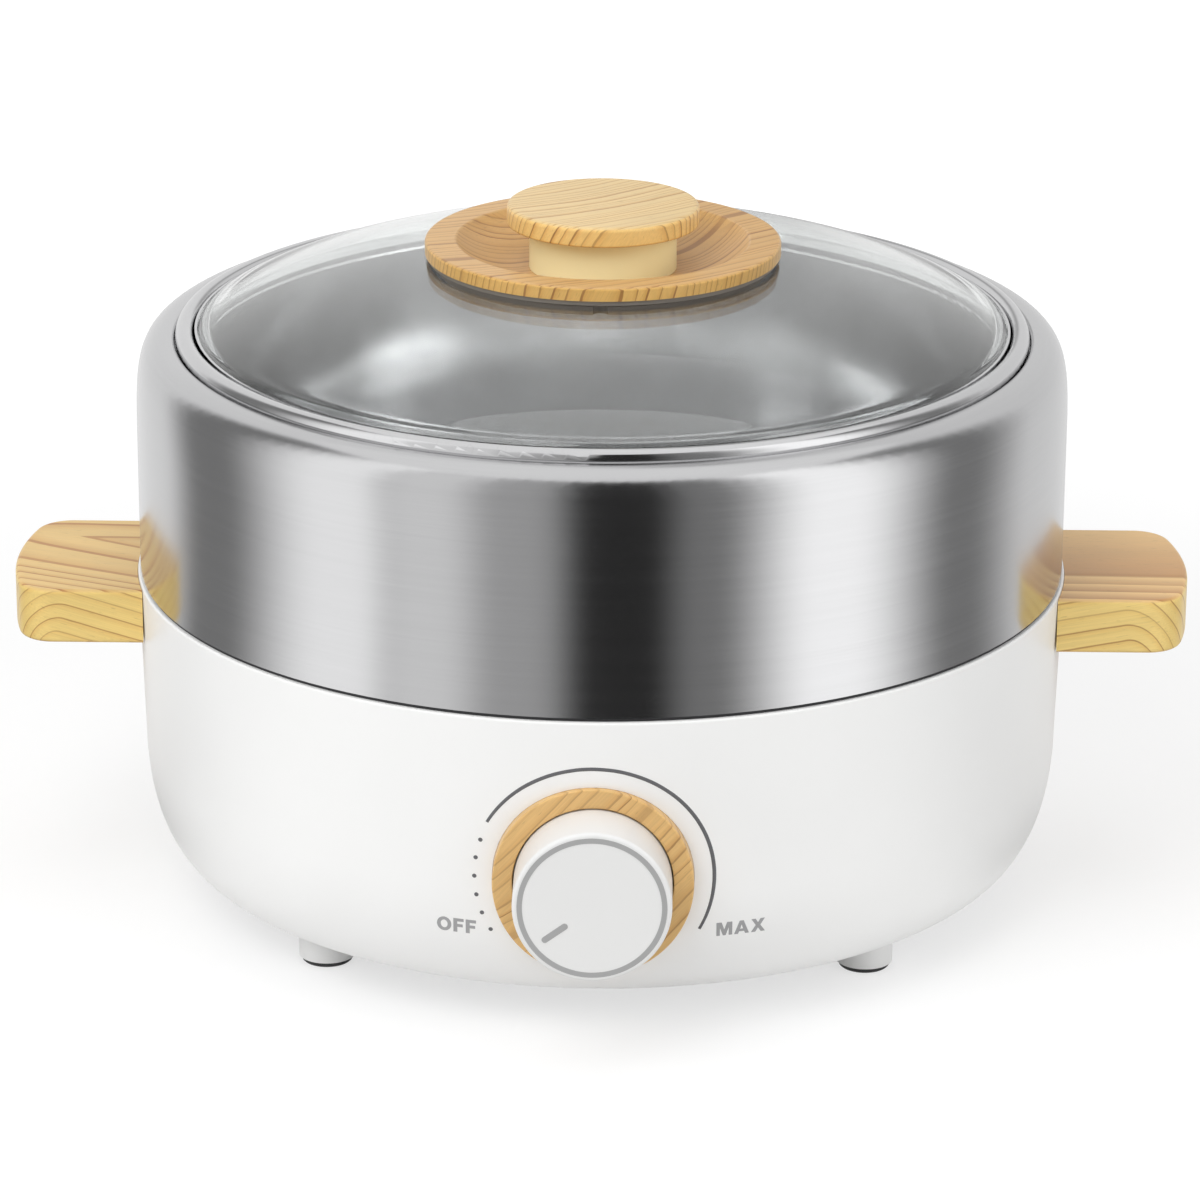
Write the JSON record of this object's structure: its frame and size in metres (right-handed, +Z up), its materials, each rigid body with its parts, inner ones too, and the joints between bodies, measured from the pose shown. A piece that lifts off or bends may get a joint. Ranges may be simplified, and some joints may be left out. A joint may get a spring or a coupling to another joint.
{
  "type": "electric hot pot",
  "caption": "Round electric hot pot: lift-out steel pot in a heated white base with a steel band, side handles, a front dial and a domed glass lid.",
  "frame": {"origin": "on the pot's axis, in the plane of the four foot pads", "axes": "+Z up along the pot's axis, +X through the right-hand handle, -Y out of the front through the control dial"},
  "size_m": [0.382, 0.3215, 0.226],
  "materials": {
    "housing_plastic": "satin white moulded housing",
    "foot_rubber": "soft black pads",
    "cover_plastic": "fine-textured white moulding",
    "screw_steel": "zinc-plated",
    "brushed_shell": "fine horizontal brushing",
    "seal_rubber": "dark seam seal",
    "liner_aluminium": "mill finish",
    "plate_aluminium": "machined casting",
    "element_steel": "heat-tinted tube",
    "control_plastic": "black thermoset",
    "pot_steel": "polished stainless steel",
    "lid_glass": "clear tempered",
    "band_steel": "polished band",
    "lid_wood": "light wood, satin lacquer",
    "gasket_silicone": "grey silicone",
    "clamp_plastic": "heat-proof nylon",
    "stem_plastic": "pale yellow moulding",
    "handle_wood": "light wood, satin lacquer",
    "trim_wood": "light wood, satin lacquer",
    "knob_plastic": "satin white moulded cap",
    "inlay_plastic": "grey inlay",
    "shaft_steel": "plated metal"
  },
  "bodies": {
    "base": {"base_housing": "housing_plastic", "feet": "housing_plastic", "foot_pads": "foot_rubber", "bottom_cover": "cover_plastic", "cover_screws": "screw_steel", "steel_shell": "brushed_shell", "seam_seal": "seal_rubber", "shell_screws": "screw_steel", "liner": "liner_aluminium", "liner_screws": "screw_steel", "heating_plate": "plate_aluminium", "heating_element": "element_steel", "plate_spacers": "element_steel", "plate_screws": "screw_steel", "thermal_cutout": "control_plastic", "probe_spring": "screw_steel", "left_handle": "handle_wood", "right_handle": "handle_wood", "handle_screws": "screw_steel", "knob_trim_ring": "trim_wood", "thermostat": "control_plastic", "thermostat_nut": "screw_steel", "power_inlet": "control_plastic", "inlet_pins": "shaft_steel"},
    "knob": {"knob_cap": "knob_plastic", "knob_ring": "inlay_plastic", "knob_pointer": "inlay_plastic", "knob_shaft": "shaft_steel"},
    "probe": {"temperature_probe": "plate_aluminium"},
    "pot": {"inner_pot": "pot_steel"},
    "lid": {"lid_glass": "lid_glass", "lid_band": "band_steel", "lid_dish": "lid_wood", "dish_gasket": "gasket_silicone", "dish_clamp": "clamp_plastic", "lid_stem": "stem_plastic", "lid_disc": "lid_wood", "lid_bolt": "screw_steel"}
  },
  "joints": [
    {"name": "dial_turn", "type": "hinge", "parent": "base", "child": "knob", "pos_m": [0, -0.1705, 0.0545], "axis": [0, 1, 0], "range_deg": [0, 245]},
    {"name": "probe_press", "type": "slide", "parent": "base", "child": "probe", "axis": [0, 0, 1], "range_m": [-0.0025, 0], "stiffness_N_per_m": 400, "springref_m": 0.004, "deforming": ["probe_spring"]},
    {"name": "pot_lift", "type": "slide", "parent": "base", "child": "pot", "axis": [0, 0, 1], "range_m": [0, 0.12]},
    {"name": "lid_lift", "type": "slide", "parent": "pot", "child": "lid", "axis": [0, 0, 1], "range_m": [0, 0.08]}
  ]
}
